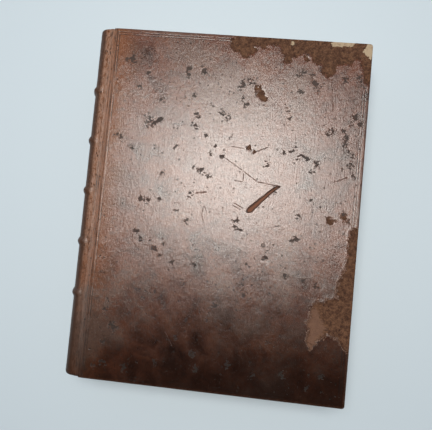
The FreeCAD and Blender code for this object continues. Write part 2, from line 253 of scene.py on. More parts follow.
# Wear of the upper cover. Places are in mm: across from a line startX past the hinge, and up from the tail.
upperWear = {
    "startX": 3.5,
    "headLoss": [
        (100, 303), (98, 291), (101, 287), (106, 285), (110, 281), (113, 281), (114, 283.5),
        (120, 284), (120, 289), (118, 291.5), (123, 292.5), (125.5, 289.5), (130, 290), (128.5, 293),
        (134, 294), (139, 293.5), (141, 289), (144.5, 286), (143.5, 280), (147, 278.5), (150.5, 281),
        (151, 286), (155, 284.5), (161, 290), (163, 287.5), (168, 286), (168, 281), (175.5, 279),
        (176.5, 273), (180.5, 270), (185.5, 271), (188, 275), (188.5, 279.5), (195, 281), (200, 280),
        (202, 285), (207, 285.5), (209.5, 279), (212, 267), (219, 262), (219, 303),
    ],
    "foreLoss": [
        (219, 146), (213, 145.5), (209.6, 142), (209.6, 131), (209, 117), (206, 105), (203, 97),
        (202.5, 91), (206, 89), (204, 87), (195.5, 85.5), (193.5, 82.5), (187.5, 82.7), (183.3, 77.5),
        (184, 70), (181, 65), (183, 59.6), (182.2, 49.3), (185.9, 45.2), (191, 52.5), (199.5, 58),
        (207.5, 54), (211.5, 48), (219, 45),
    ],
    "innerLoss": [
        (122, 258), (126.5, 256.5), (131, 252), (133.5, 248), (132, 244.5), (128.5, 245.5),
        (125.5, 248), (123, 248.5), (124.5, 252.5), (120.5, 255.5),
    ],
    "smallLoss": [(118.5, 207.5), (121.5, 206.5), (124.5, 202.5), (129, 202), (125, 200.5), (121, 203)],
    "strayLosses": [
        [(189.3, 152.5), (196.8, 149.7), (193.5, 146.5), (191, 149)],
        [(201, 155), (205, 155.5), (206, 151), (203, 151)],
        [(160, 286), (164, 287), (165, 283), (161, 281)],
    ],
    "scar": [
        (150.8, 174.6), (146, 174), (138.5, 167.5), (131, 160), (125.5, 155), (123.4, 151.4),
        (124.6, 150), (128.2, 150.6), (131, 154), (138, 162), (144.5, 169),
    ],
    "peel": [
        (183.3, 76.6), (187.7, 78.2), (193, 68.6), (196.7, 64.5), (195, 57.5), (190.9, 52.5),
        (185.9, 45.2), (182.2, 49.3), (183, 59.6), (180.9, 65), (183.9, 69.9),
    ],
    "bare": [
        [(182, 303), (182, 298), (183.5, 295.5), (199.5, 296), (201.5, 298.5), (201.5, 303)],
        [(219, 303), (210.5, 303), (211, 297), (208, 293), (210.5, 290), (215.5, 286.5), (219, 286)],
        [(148.6, 297.6), (150.6, 298.2), (152, 296.4), (150.8, 294.8), (148.8, 295.2)],
    ],
    "depth": 0.35,
    "bareDepth": 0.8,
    "slope": 1.2,
    "scarSlope": 1.6,
    "curl": 0.12,
    "curlPlace": 1.2,
    "curlWidth": 0.9,
    "curlBelow": 150,
    "curlFade": 10,
    "ragged": 1.1,
    "raggedSize": 3.2,
    # dark flecks: x, y, radius
    "flecks": [
        (36, 222, 2.6), (39, 219, 2.0), (34, 219, 1.6), (43.5, 222, 1.8), (75, 228, 2.2),
        (75, 219.5, 1.9), (73, 223, 1.0), (96, 233, 1.6), (99, 230.5, 1.2), (101.5, 229, 1.6),
        (87, 240, 1.2), (15, 273, 3.0), (11, 272, 1.6), (65, 268, 2.4), (64, 262, 1.6), (77, 268, 2.6),
        (80, 265, 1.3), (12, 205, 2.4), (8, 207, 1.2), (22, 197, 1.8), (50, 177, 2.2), (84, 182, 2.0),
        (90, 178, 1.6), (78, 184, 1.0), (76, 162, 1.8), (50, 155, 1.6), (36, 154, 2.4), (40, 153, 1.7),
        (65, 148, 1.4), (75, 139, 1.5), (116, 143, 2.3), (115, 138, 2.0), (120, 136, 1.2),
        (140, 125, 1.2), (144, 121, 1.5), (143, 114, 1.4), (160, 102, 2.2), (166, 150, 1.5),
        (167, 132, 1.8), (163.5, 130.5, 1.2), (203, 155.5, 1.9), (207, 151.5, 1.6), (188.5, 224, 2.4),
        (186, 222, 1.3), (199, 224, 1.8), (200, 219, 1.8), (199.5, 214, 1.8), (201, 209, 1.5),
        (207, 236, 2.8), (210, 232, 2.0), (204, 230.5, 1.6), (205, 244, 1.8), (196, 268, 2.5),
        (208, 270, 2.2), (208, 263, 1.8), (171, 264, 2.6), (174, 260, 2.4), (168, 270, 1.8),
        (160, 272, 2.2), (157, 270, 1.4), (160, 256, 1.7), (163, 200, 1.6), (166.5, 200.5, 1.4),
        (170, 199, 1.6), (178, 196, 1.8), (180, 193, 1.2), (159, 206, 1.4), (157, 204, 0.9),
        (150, 202, 1.4), (175, 189, 1.4), (137, 197, 1.1), (137, 191, 1.0), (146, 169, 1.3),
        (153, 232, 1.3), (151, 240, 1.0), (112, 258.5, 2.6), (115.5, 261.5, 2.0), (119, 260, 2.2),
        (110, 255.5, 1.7), (116, 241, 1.5), (112, 246, 1.0), (38, 120, 1.8), (45, 120, 1.4),
        (50, 113, 2.0), (55, 108, 1.6), (58, 118, 1.2), (33, 127, 1.4), (77, 87, 1.4), (84, 103, 1.8),
        (66, 103, 1.2), (40, 78, 1.6), (48, 79, 1.8), (55, 77, 1.6), (44, 72, 1.2), (62, 70, 1.4),
        (128, 83, 2.2), (131.5, 80, 1.5), (22, 45, 3.2), (14, 58, 1.8), (14, 33, 2.2), (16, 68, 1.4),
        (33, 58, 1.4), (15, 15, 2.2), (9, 12, 1.6), (34, 12, 2.4), (60, 20, 1.8), (74, 42, 1.6),
        (70, 40, 1.0), (90, 30, 2.0), (83, 58, 1.4), (99, 60, 1.2), (105, 72, 1.4), (94, 18, 2.0),
        (120, 25, 2.4), (140, 18, 1.8), (150, 46, 1.4), (165, 22, 2.6), (185, 14, 1.8), (196, 24, 1.6),
        (128, 108, 1.0), (186, 96, 1.6), (176, 98, 1.4), (150, 143, 0.9), (176, 165, 1.0),
        (184, 160, 1.1), (199, 192, 1.6), (205, 196, 2.0), (208, 188, 1.6), (206, 205, 1.5),
        (93, 204, 1.2), (100, 196, 1.4), (89, 196, 1.2), (106, 212, 1.5), (84, 212, 1.3),
        (60, 200, 1.2), (70, 245, 1.4), (56, 250, 1.2), (44, 240, 1.2), (24, 250, 1.5), (30, 262, 1.3),
        (91, 256, 1.4),
    ],
    # thin scratches: start, end, half width
    "scratches": [
        ((101.2, 195.2), (117.7, 185.2), 0.22), ((117.7, 185.2), (130.9, 176.7), 0.3),
        ((130.9, 176.7), (150.1, 174.5), 0.34), ((106.2, 204.7), (117.9, 203.7), 0.2),
        ((126.7, 201.5), (137.8, 206.7), 0.3), ((110.8, 176.4), (119.5, 175.7), 0.24),
        ((118.8, 183.4), (119, 175.6), 0.3), ((192.8, 181.5), (204.4, 186.9), 0.32),
        ((112.9, 157.6), (121.4, 153.6), 0.3), ((111.6, 155.8), (119.6, 152), 0.26),
        ((79.8, 162.9), (89.8, 164.6), 0.5), ((66, 46.4), (73.1, 34.8), 0.26),
        ((184.7, 268.6), (187.9, 240.1), 0.2), ((88.2, 153.2), (86.8, 145), 0.24),
        ((86.8, 145), (89.6, 138), 0.24), ((88.6, 153.2), (91.3, 146.8), 0.2),
    ],
}

# How far the blind lines lie from the cover's edges, and from the hinge line
toolLines = {"inset": 3.5, "fromHinge": 3.0, "spacing": 2.0, "halfWidth": 0.3, "depth": 0.06}


def coverPlace(points):
    # a point's place on the upper cover, in the wear lists' mm
    x = (points[:, 0] - hingeX) / mm - upperWear["startX"]
    return x, (points[:, 1] + halfHeight) / mm


def segmentLine(where, start, end, halfWidth):
    # 1 on a thin line between two points of the upper cover, 0 beside it
    offset = Vector((hingeX / mm + upperWear["startX"], -halfHeight / mm, 0))
    a, b = Vector((*start, 0)) + offset, Vector((*end, 0)) + offset
    along, length = (b - a).normalized(), (b - a).length
    fromStart = vectorMath("SUBTRACT", where, tuple(a))[0]
    run = vectorMath("DOT_PRODUCT", fromStart, tuple(along))[1]
    aside = vectorMath("DOT_PRODUCT", fromStart, (-along.y, along.x, 0))[1]
    near = ease(unsigned(aside), halfWidth * 0.6, halfWidth * 1.5, 1, 0)
    ends = ease(unsigned(minus(run, length / 2)), length / 2 - 1.0, length / 2, 1, 0)
    return times(near, ends)


calfLook = {
    "dark": (0.0085, 0.0036, 0.0023),
    "middle": (0.108, 0.034, 0.0155),
    "light": (0.165, 0.064, 0.031),
    "orange": (0.215, 0.084, 0.032),
    # dark brown painted shade for the spine's back, which turns away from the light
    "spine": (0.042, 0.018, 0.009),
    # grey-pink painted sheen, laid in patches and round the flecks towards the head
    "bloom": (0.105, 0.088, 0.078),
    "fleck": (0.011, 0.0095, 0.0085),
    # pale colour of cracks and rubbed grain, also used as painted sheen and highlight on the joint and the
    # upper surface
    "crackLight": (0.30, 0.19, 0.14),
    "suede": (0.060, 0.026, 0.014),
    "suedeLight": (0.135, 0.068, 0.037),
    "scar": (0.150, 0.060, 0.032),
    "peel": (0.165, 0.092, 0.062),
    "board": (0.40, 0.32, 0.22),
    "polish": 0.03,  # roughness of the smoothest leather
    "glossyShine": 0.66,
    "mattShine": 0.16,
}


class Coats:
    # a leather's colour, roughness, height in mm and mattness, built up mark by mark
    def __init__(self, colour, rough):
        self.colour, self.rough, self.height, self.matt = colour, rough, 0.0, 0.0

    def lay(self, mask, colour=None, cover=1.0, rough=0.0, height=0.0, matt=0.0):
        if colour is not None:
            self.colour = mixColours(times(mask, cover), self.colour, colour)
        if rough:
            self.rough = plus(self.rough, mask, rough)
        if height:
            self.height = plus(self.height, mask, height)
        if matt:
            self.matt = larger(self.matt, times(mask, matt))


def jointWear(coats, where, fromHinge, y):
    # streaks and cracks that run along the joint, fewer towards the tail; their pale parts are partly
    # painted sheen and highlight, fading towards the tail
    zone = ease(unsigned(minus(fromHinge, 0.4)), 1.5, 5.5, 1, 0)
    streaks = grain(stretch(where, 1.5, 0.045, 1.5), 1.0, 5.0, 0.65, 0.3)
    chips = grain(stretch(where, 0.7, 0.22, 0.7), 1.0, 5.0, 0.7, 0.8)
    # pale chips on the shoulder's ridge: painted highlight over cracked leather, weaker towards the tail
    shoulder = ease(unsigned(plus(fromHinge, 4.0)), 1.5, 4.5, 1, 0)
    shoulder = times(shoulder, ease(y, -115, 10, 0.12, 1))
    coats.lay(times(shoulder, ease(chips, 0.44, 0.54, 0, 0.7)), calfLook["crackLight"])
    coats.lay(times(shoulder, ease(chips, 0.36, 0.44, 0.9, 0)), calfLook["fleck"])
    # pale streaks along the joint: partly cracks, partly painted sheen that fades towards the tail
    pale = times(zone, ease(streaks, 0.52, 0.64, 0, 0.55))
    coats.lay(times(pale, ease(y, -115, 10, 0.2, 1)), calfLook["crackLight"])
    coats.lay(times(zone, ease(streaks, 0.36, 0.46, 0.85, 0)), calfLook["fleck"])
    coats.lay(zone, rough=0.14)
    coats.lay(times(zone, streaks), height=0.5)


def doubleLine(coats, where, x, y):
    # the blind double line round a cover, faint in places
    halfX = (foreX - hingeX) / mm / 2 - (toolLines["inset"] + toolLines["fromHinge"]) / 2
    centreX = hingeX / mm + toolLines["fromHinge"] + halfX
    fromSideX = minus(unsigned(minus(x, centreX)), halfX)
    fromSideY = minus(unsigned(y), halfHeight / mm - toolLines["inset"])
    outerGap = larger(fromSideX, fromSideY)
    lineGap = smaller(unsigned(outerGap), unsigned(plus(outerGap, toolLines["spacing"])))
    lines = ease(lineGap, toolLines["halfWidth"] * 0.7, toolLines["halfWidth"] * 1.8, 1, 0)
    faint = ease(grain(where, 0.05, 2.0), 0.36, 0.58, 0.25, 1)
    lines = times(lines, times(faint, ease(y, -148, -125, 0.3, 1)))
    coats.lay(lines, calfLook["fleck"], 0.7, height=-toolLines["depth"])


def coverMarks(coats, where, y, mottle):
    # the upper cover's own flecks, scratches, scar and losses, and painted sheen round the flecks
    tree = treeOf(where)
    crumble = times(minus(grain(where, 0.9, 4.0, 0.65), 0.5), 2.4)
    ragged = times(minus(grain(where, 0.3, 4.0, 0.65), 0.5), 11.0)

    shard = cells(stretch(where, 0.75, 1.0, 1.0), 0.62)[1]
    fleckGap = plus(readField(tree, "fleckGap"), crumble, 2.7)
    fleckGap = plus(fleckGap, minus(shard, 0.40), 4.2)
    # grey-pink painted sheen round the flecks, fading towards the tail
    coats.lay(times(ease(fleckGap, 0.0, 3.5, 0.2, 0), ease(y, -60, 40)), calfLook["bloom"])
    coats.lay(ease(fleckGap, -0.5, 0.4, 1, 0), calfLook["fleck"], 0.75, rough=0.3, height=-0.1, matt=0.8)

    scratch = 0.0
    for start, end, halfWidth in upperWear["scratches"]:
        scratch = larger(scratch, segmentLine(where, start, end, halfWidth))
    scratch = times(scratch, ease(mottle, 0.35, 0.55, 0.35, 1))
    coats.lay(scratch, calfLook["suede"], 0.45, rough=0.35, height=-0.12, matt=0.6)

    scarGap = plus(readField(tree, "scarGap"), crumble, 0.35)
    scarDepth = plus(times(scarGap, -0.3), crumble, 0.2)
    scarColour = ramp(scarDepth, [(0.05, calfLook["fleck"]), (0.4, calfLook["scar"])])
    coats.lay(ease(scarGap, -0.3, 0.2, 1, 0), scarColour, rough=0.4, height=-0.25, matt=1.0)

    wornGap = plus(plus(readField(tree, "wornGap"), crumble, 1.6), ragged)
    worn = ease(wornGap, -0.25, 0.15, 1, 0)
    suede = ramp(grain(where, 0.3, 6.0, 0.75), [(0.42, calfLook["suede"]), (0.58, calfLook["suedeLight"])])
    suede = mixColours(ease(crumble, 0.0, 0.4, 0, 0.75), suede, calfLook["dark"])
    suede = mixColours(ease(crumble, -0.6, -0.2, 0.35, 0), suede, calfLook["crackLight"])
    peelGap = plus(readField(tree, "peelGap"), plus(ragged, crumble, 2.0))
    suede = mixColours(ease(peelGap, -2.0, 0.8, 0.7, 0), suede, calfLook["peel"])
    coats.lay(worn, suede, rough=0.42, height=-0.22, matt=1.0)
    coats.lay(times(worn, crumble), height=0.3)

    # the torn edge of the surface curls up a little along the fore-edge loss
    lip = times(ease(wornGap, 0.1, 0.35), ease(wornGap, 0.6, 1.2, 1, 0))
    coats.lay(times(lip, ease(y, 0, 20, 1, 0)), calfLook["crackLight"], 0.7, height=0.18)

    bareGap = plus(readField(tree, "bareGap"), plus(crumble, ragged, 0.6))
    boardTone = mixColours(ease(mottle, 0.5, 0.7, 0, 0.5), calfLook["board"], calfLook["peel"])
    coats.lay(ease(bareGap, -0.25, 0.1, 1, 0), boardTone, rough=0.3, height=-0.4)


def agedCalf(name, marked):
    # old polished calf: sprinkled, darkened to the tail, cracked along the joints, with painted sheen in
    # grey-pink patches and pale marks, and painted shade over the spine
    made, tree, where, shader = startMaterial(name)
    x, y, _ = split(where)
    fromHinge = minus(x, hingeX / mm)
    wide = grain(where, 0.014, 4.0, 0.6)
    patches = grain(where, 0.06, 5.0, 0.62, 0.6)
    mottle = grain(where, 0.35, 4.0, 0.6)
    pores = grain(where, 1.7, 3.0, 0.6)

    # clouded ground, orange beside the joint and near black at the tail
    tones = [(0.33, calfLook["dark"]), (0.5, calfLook["middle"]), (0.68, calfLook["light"])]
    coats = Coats(ramp(plus(times(wide, 0.5), patches, 0.5), tones), calfLook["polish"])
    nearJoint = ease(plus(fromHinge, patches, 34.0), 14, 46, 0.75, 0)
    coats.lay(times(nearJoint, ease(y, -160, 60, 0.45, 1)), calfLook["orange"], matt=0.8)
    coats.lay(ease(mottle, 0.52, 0.72, 0, 0.35), calfLook["dark"])
    # grey-pink patches of painted sheen
    coats.lay(ease(plus(wide, mottle, 0.3), 0.62, 0.82, 0, 0.55), calfLook["bloom"])
    darkening = plus(ease(fromHinge, 5, 95, 34, 0), patches, 60.0)
    coats.lay(ease(plus(y, darkening), -125, 35, 0.94, 0), calfLook["dark"], matt=0.8)
    # the back past the shoulder is painted dark: painted shade where the spine turns away from the light
    coats.lay(ease(plus(fromHinge, patches, 5.0), -6, -2, 0.85, 0), calfLook["spine"], rough=0.3)
    coats.lay(mottle, rough=0.14)
    coats.lay(patches, rough=0.16)
    coats.lay(minus(pores, 0.5), rough=0.3)
    coats.lay(pores, height=0.085)

    # fine grain of the worn surface, creases, brush marks and wrinkles, with pale marks that are partly
    # painted sheen towards the head
    fine = grain(stretch(where, 1.0, 0.5, 1.0), 1.0, 6.0, 0.75, 0.4)
    coats.lay(ease(fine, 0.52, 0.68, 0, 0.75), calfLook["dark"])
    # pale fine marks only towards the head: partly worn grain, partly painted sheen
    coats.lay(times(ease(fine, 0.34, 0.48, 0.4, 0), ease(y, -110, 0)), calfLook["crackLight"])
    coats.lay(ease(fine, 0.54, 0.68, 0, 0.6), matt=1.0)
    coats.lay(fine, height=-0.08)
    coats.lay(grain(stretch(where, 0.9, 0.16, 0.9), 1.0, 4.0, 0.65, 0.8), height=0.14)
    coats.lay(grain(stretch(where, 0.07, 1.3, 1.0), 1.0, 3.0, 0.6), height=0.022)
    coats.lay(grain(where, 0.16, 3.0, 0.5, 0.8), height=0.12)

    # sprinkled flecks all over, and dark strokes
    distance, chance = cells(where, 0.27)
    size = ease(chance, 0.55, 1.0, 0.0, 0.24)
    fromRim = minus(plus(distance, minus(pores, 0.5), 0.34), size)
    sprinkle = times(ease(fromRim, -0.04, 0.03, 1, 0), ease(size, 0.0, 0.08))
    coats.lay(sprinkle, calfLook["fleck"], 0.65, height=-0.05, matt=0.7)
    strokes = grain(stretch(where, 0.16, 0.5, 0.5), 1.0, 5.0, 0.7, 1.2)
    coats.lay(ease(strokes, 0.6, 0.68, 0, 0.4), calfLook["fleck"])

    jointWear(coats, where, fromHinge, y)
    rub = ease(plus(readField(tree, "edgeGap"), mottle, 3.0), 1.6, 4.2, 1, 0)
    coats.lay(rub, calfLook["suede"], 0.45, rough=0.22)
    doubleLine(coats, where, x, y)
    if marked:
        coverMarks(coats, where, y, mottle)
    shine = ease(coats.matt, 0.0, 1.0, calfLook["glossyShine"], calfLook["mattShine"])
    put(shader.inputs["Specular IOR Level"], shine)
    finishMaterial(tree, shader, coats.colour, smaller(coats.rough, 0.95), coats.height)
    return made


paperLook = {"ground": (0.60, 0.50, 0.34), "stain": (0.46, 0.34, 0.20), "rim": (0.26, 0.15, 0.07),
             "rimWidth": 17.0}
# the edges' gap colour is painted shade between the leaves
edgeLook = {"ground": (0.60, 0.44, 0.25), "stain": (0.40, 0.26, 0.13), "gap": (0.10, 0.062, 0.033),
            "dirt": (0.20, 0.13, 0.075)}
boardLook = {"dark": (0.42, 0.28, 0.17), "light": (0.66, 0.47, 0.30)}
hempLook = {"dark": (0.24, 0.17, 0.09), "light": (0.48, 0.37, 0.22), "rough": 0.85}
linenLook = {"dark": (0.42, 0.35, 0.24), "light": (0.66, 0.58, 0.43), "rough": 0.8}
silkLook = {"pale": (0.52, 0.40, 0.22), "blue": (0.10, 0.13, 0.17), "dirt": (0.20, 0.13, 0.07)}


def agedPaper(name, look, onEdge):
    # laid paper, foxed and stained round its rim, or the edges of many leaves with painted shade between the
    # leaves
    made, tree, where, shader = startMaterial(name)
    blotches = grain(where, 0.03, 4.0, 0.6)
    fibres = grain(where, 1.4, 4.0, 0.65)
    red, green, blue = look["stain"]
    colour = ramp(blotches, [(0.35, look["ground"]), (0.75, look["stain"])])
    foxGap = plus(cells(where, 0.05)[0], grain(where, 0.4), 0.22)
    colour = mixColours(ease(foxGap, 0.12, 0.24, 0.45, 0), colour, (red * 0.7, green * 0.5, blue * 0.35))
    colour = mixColours(ease(fibres, 0.4, 0.7, 0, 0.16), colour, (red * 0.5, green * 0.45, blue * 0.4))
    if onEdge:
        edges = grain(stretch(where, 0.03, 0.03, 5.0), 1.0, 3.0, 0.6)
        dirty = grain(stretch(where, 0.02, 0.02, 0.5), 1.0, 3.0, 0.6)
        # thin dark lines of painted shade between the leaves
        colour = mixColours(ease(edges, 0.42, 0.6, 0.65, 0), colour, look["gap"])
        colour = mixColours(ease(dirty, 0.45, 0.65, 0, 0.55), colour, look["dirt"])
        height = times(edges, 0.12)
    else:
        chain = grain(stretch(where, 0.2, 3.0, 1.0), 1.0, 2.0)
        height = plus(times(chain, 0.02), fibres, 0.03)
        x, y, _ = split(where)
        fromFore = minus(foreX / mm - look["rimWidth"], x)
        fromEnd = minus(halfHeight / mm - look["rimWidth"], unsigned(y))
        border = plus(smaller(fromFore, fromEnd), blotches, 6.0)
        colour = mixColours(ease(border, -1.0, 7.0, 0.6, 0), colour, look["rim"])
    finishMaterial(tree, shader, colour, 0.85, height, 0.7)
    return made


def twistedFibre(name, look):
    # cord or thread: fine twisted strands
    made, tree, where, shader = startMaterial(name)
    strands = grain(stretch(where, 1.0, 4.0, 1.0), 1.6, 3.0, 0.6, 0.5)
    colour = ramp(strands, [(0.35, look["dark"]), (0.65, look["light"])])
    finishMaterial(tree, shader, colour, look["rough"], times(strands, 0.15))
    return made


def pasteboardMaterial():
    made, tree, where, shader = startMaterial("pasteboard")
    layers = grain(stretch(where, 0.05, 0.05, 2.6), 1.0, 4.0, 0.6)
    colour = ramp(layers, [(0.35, boardLook["dark"]), (0.65, boardLook["light"])])
    finishMaterial(tree, shader, colour, 0.9, times(layers, 0.2))
    return made


def silkMaterial():
    made, tree, where, shader = startMaterial("endbandSilk")
    sheen = grain(where, 3.0, 2.0)
    colour = mixColours(ease(readField(tree, "silkTurn"), 0.4, 0.6), silkLook["pale"], silkLook["blue"])
    colour = mixColours(ease(sheen, 0.4, 0.7, 0, 0.4), colour, silkLook["dirt"])
    finishMaterial(tree, shader, colour, 0.55, times(sheen, 0.05))
    return made


calfMarked = agedCalf("calfUpperCover", True)
calfPlain = agedCalf("calf", False)
endpaper = agedPaper("endpaper", paperLook, False)
leafEdges = agedPaper("leafEdges", edgeLook, True)
hemp = twistedFibre("hempCord", hempLook)
linen = twistedFibre("linenThread", linenLook)
pasteboard = pasteboardMaterial()
silk = silkMaterial()
print("materials made")


# The outer surface over the back and the joints, shared by the covers, the spine and the folds between them
spineForm = {
    "shoulderDrop": topZ - spineHigh.z,
    "shoulderWidth": 4.4 * mm,
    "shoulderRound": 9.5 * mm,
    "bandHalfWidth": 4.3 * mm,
    "bandRise": 1.6 * mm,
    "bandShape": 1.2,
    "bandFade": (1.625, 0.78, 0.8125),  # how a band sinks as the back turns to the cover
    "capRound": 2.6 * mm,
    "capTurns": (15, 30, 45, 60, 75, 90),
    "thickness": 1.0 * mm,
    "lip": 3.1 * mm,
    "lipRim": [(0.0, 0.4), (0.15, 0.1), (0.5, 0.0), (0.9, 0.15), (1.0, 0.4)],  # mm in from the end, and up
    "step": 0.75 * mm,
    "innerRows": 158,
    "wave": 0.22 * mm,
    "waveSize": 14 * mm,
    "waveStart": 0.3 * mm,
    "waveFull": 3 * mm,
    "bandRub": 0.9,
    "rubFade": 1.4,
}
jointValley = {"rest": 0.15 * mm, "depth": 0.75 * mm, "place": 1.5 * mm, "reach": 1.2 * mm}
jointRidge = {"rise": 0.3 * mm, "place": 2.1 * mm, "reach": 1.3 * mm, "wear": 0.25, "wearSize": 23 * mm,
              "wearBeat": 9.7 * mm}
spineJointX = spineHigh.x
turnX = hingeX - spineForm["shoulderWidth"]
turnHalf = midZ - spineForm["shoulderDrop"] - spineForm["shoulderRound"]
spineRound = hingeX - spineLow.x - spineForm["bandRise"]
backAngle = 2 * math.atan((spineRound - spineForm["shoulderWidth"] - spineForm["shoulderRound"]) / turnHalf)
spineRadius = spineForm["shoulderRound"] + turnHalf / math.sin(backAngle)
spineAxisX = hingeX - spineRound + spineRadius


def wayLengths(depth):
    # lengths of the half back's three stretches, that deep under the surface
    turned = (spineForm["shoulderRound"] - depth) * (math.pi / 2 - backAngle)
    return (spineRadius - depth) * backAngle, turned, spineJointX - turnX


def overBack(s, depth=0.0):
    # point, outward direction and its angle, at length s from the middle of the back
    backLength, turned, _ = wayLengths(depth)
    side, run = np.sign(s), np.abs(s)
    onBack = np.minimum(run, backLength) / (spineRadius - depth)
    onTurn = np.clip(run - backLength, 0, turned) / (spineForm["shoulderRound"] - depth)
    level = np.maximum(run - backLength - turned, 0)
    angle = onBack + onTurn
    turning = run > backLength
    x = np.where(turning, turnX - (spineForm["shoulderRound"] - depth) * np.cos(angle) + level,
                 spineAxisX - (spineRadius - depth) * np.cos(angle))
    z = np.where(turning, turnHalf + (spineForm["shoulderRound"] - depth) * np.sin(angle),
                 (spineRadius - depth) * np.sin(angle))
    return x, side * z, -np.cos(angle), side * np.sin(angle), angle


def bandLift(y, angle):
    # how far a band lifts the leather, at its place along the spine and the angle its surface faces
    lift = np.zeros_like(y)
    for place in bandPlaces:
        share = np.clip(np.abs(y - place) / spineForm["bandHalfWidth"], 0, 1)
        lift = np.maximum(lift, 0.5 + 0.5 * np.cos(math.pi * share ** spineForm["bandShape"]))
    toBack, toCover, least = spineForm["bandFade"]
    sunk = np.clip(toBack * np.cos(angle) + toCover * np.sin(angle) - least, 0, 1)
    return spineForm["bandRise"] * lift * sunk


def jointDepth(x, y):
    # how far the leather lies below the cover's face, near the joint
    beside = (x - hingeX - jointValley["place"]) / jointValley["reach"]
    onCover = jointValley["rest"] + jointValley["depth"] * np.exp(-beside ** 2)
    onSpine = spineForm["shoulderDrop"] - ridgeLift(x, y)
    return np.where(x > hingeX, onCover, onSpine)


def ridgeLift(x, y):
    beside = (x - hingeX + jointRidge["place"]) / jointRidge["reach"]
    beat = np.sin(y / jointRidge["wearSize"]) * np.cos(y / jointRidge["wearBeat"])
    worn = 1 - jointRidge["wear"] + jointRidge["wear"] * beat
    return jointRidge["rise"] * worn * np.exp(-beside ** 2)


coverForm = {
    "edgeRound": 1.2 * mm,
    "innerEdgeRound": 0.4 * mm,
    "cornerRound": 2.2 * mm,
    "turnIn": 16.0 * mm,
    "turnInThickness": 0.5 * mm,
    "turnInEdge": 0.2 * mm,
    "turnInLoops": (2.0 * mm, 4.5 * mm, 7.5 * mm, 10.5 * mm, 13.5 * mm),
    "wave": 0.12 * mm,  # slow waves of an old board
    "waveSize": 55 * mm,
    "smallWave": 0.4,
    "smallWaveSize": 16 * mm,
    "ripple": 0.12 * mm,
    "rippleSize": 9 * mm,
    "lacingLift": 0.12 * mm,
    "lacingHalfWidth": 3.4 * mm,
    "lacingStart": 1.5 * mm,
    "lacingFull": 4 * mm,
    "lacingReach": 17 * mm,
    "lacingFade": 9 * mm,
    "deepest": 0.95 * mm,
    "fadeLoops": 7,  # over which the face's depth dies out round the edge
    "edgeRub": 0.3,
    "edgeSlack": 0.8,  # how much of the way round the edge counts as distance from the wear
}


def wearGaps(flat):
    # how far each point lies from each kind of wear of the upper cover, in mm, negative inside it
    px, py = coverPlace(flat)
    ragged = roughness(flat, upperWear["raggedSize"] * mm, 5, 3) * upperWear["ragged"]

    def gap(outlines, share):
        return np.minimum.reduce([edgeDistance(px, py, outline) for outline in outlines]) + share * ragged

    losses = [upperWear[name] for name in ("headLoss", "foreLoss", "innerLoss", "smallLoss")]
    flecks = [np.hypot(px - fx, py - fy) - size for fx, fy, size in upperWear["flecks"]]
    return {
        "wornGap": gap(losses + upperWear["strayLosses"], 1.0),
        "bareGap": gap(upperWear["bare"], 0.4),
        "scarGap": gap([upperWear["scar"]], 0.25),
        "peelGap": gap([upperWear["peel"]], 1.0),
        "fleckGap": np.minimum.reduce(flecks),
    }


def wornDepth(depth, gaps, py):
    # the depth of the leather's surface once the wear is cut into it
    worn, scar = gaps["wornGap"], gaps["scarGap"]
    cut = smoothStep(-worn, 0, upperWear["slope"]) + smoothStep(-scar, 0, upperWear["scarSlope"])
    curl = np.exp(-((worn - upperWear["curlPlace"]) / upperWear["curlWidth"]) ** 2)
    curl = curl * smoothStep(upperWear["curlBelow"] - py, 0, upperWear["curlFade"])
    depth = depth + upperWear["depth"] * mm * cut - upperWear["curl"] * mm * curl
    deep = smoothStep(-gaps["bareGap"], -0.2, 0.8)
    return depth * (1 - deep) + upperWear["bareDepth"] * mm * deep


def edgeProfile():
    # loops from the face's border round the edge to the board: how far out, and how deep
    inset, soft = coverForm["edgeRound"], coverForm["innerEdgeRound"]
    inner = coverHigh.z - coverLow.z
    boardInner = inner - coverForm["turnInThickness"]
    turnInEnd = inset - coverForm["turnIn"]
    profile = [(inset * math.sin(t), inset * (1 - math.cos(t))) for t in np.radians([18, 36, 54, 72, 90])]
    profile += [(inset, inset + (inner - soft - inset) * share) for share in (0.33, 0.66, 1.0)]
    for t in np.radians([30, 60, 90]):
        profile.append((inset - soft * (1 - math.cos(t)), inner - soft * (1 - math.sin(t))))
    profile += [(inset - back, inner) for back in coverForm["turnInLoops"]]
    profile += [(turnInEnd + coverForm["turnInEdge"], inner), (turnInEnd, inner - coverForm["turnInEdge"])]
    hidden = inset - (foreX - boardHigh.x)
    return profile + [(turnInEnd, boardInner), (hidden, boardInner), (hidden, topZ - boardHigh.z)]


